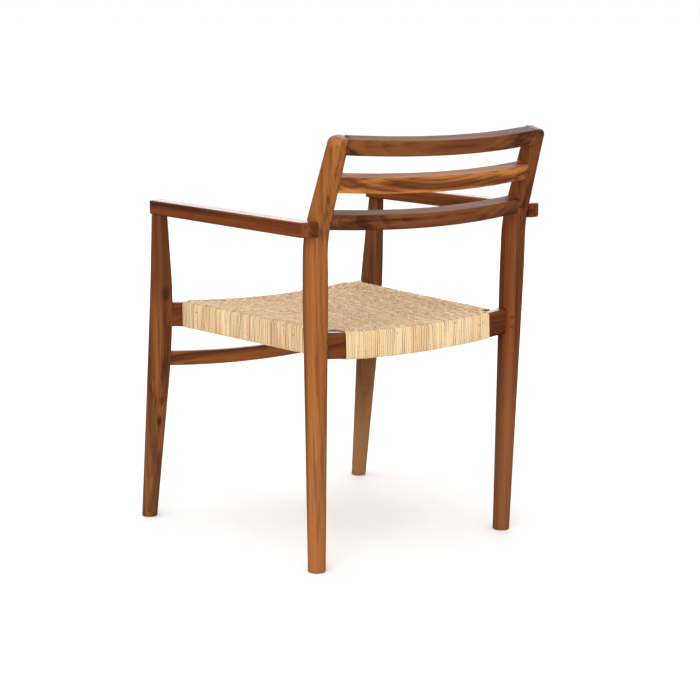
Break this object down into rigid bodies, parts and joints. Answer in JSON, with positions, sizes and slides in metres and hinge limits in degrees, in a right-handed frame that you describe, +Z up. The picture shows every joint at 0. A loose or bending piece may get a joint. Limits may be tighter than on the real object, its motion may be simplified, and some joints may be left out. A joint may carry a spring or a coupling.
{
  "type": "open-backed armchair",
  "caption": "Dining armchair with a raked open slat back, straight flat arms, tapered legs and a hand-woven cane seat.",
  "frame": {"origin": "on the floor, centred under the chair's overall box", "axes": "+X to the sitter's left, +Y to the rear, +Z up"},
  "size_m": [0.568, 0.6354, 0.7942],
  "materials": {
    "teak": "oiled and rubbed, satin sheen",
    "peg_wood": "end grain, oiled",
    "cane": "natural split cane, unvarnished, slightly glossy skin"
  },
  "bodies": {
    "root": {"left_rear_leg": "teak", "right_rear_leg": "teak", "left_front_leg": "teak", "right_front_leg": "teak", "left_arm": "teak", "right_arm": "teak", "lower_slat": "teak", "middle_slat": "teak", "top_rail": "teak", "front_seat_rail": "teak", "rear_seat_rail": "teak", "left_seat_rail": "teak", "right_seat_rail": "teak", "front_stretcher": "teak", "left_arm_dowel_front": "peg_wood", "left_arm_dowel_rear": "peg_wood", "right_arm_dowel_front": "peg_wood", "right_arm_dowel_rear": "peg_wood", "left_lower_slat_peg": "peg_wood", "left_middle_slat_peg": "peg_wood", "left_top_rail_peg": "peg_wood", "left_rear_rail_peg_lower": "peg_wood", "left_rear_rail_peg_upper": "peg_wood", "right_lower_slat_peg": "peg_wood", "right_middle_slat_peg": "peg_wood", "right_top_rail_peg": "peg_wood", "right_rear_rail_peg_lower": "peg_wood", "right_rear_rail_peg_upper": "peg_wood", "front_cane_wrap": "cane", "rear_cane_wrap": "cane", "left_cane_wrap": "cane", "right_cane_wrap": "cane", "woven_panel": "cane"}
  },
  "joints": []
}
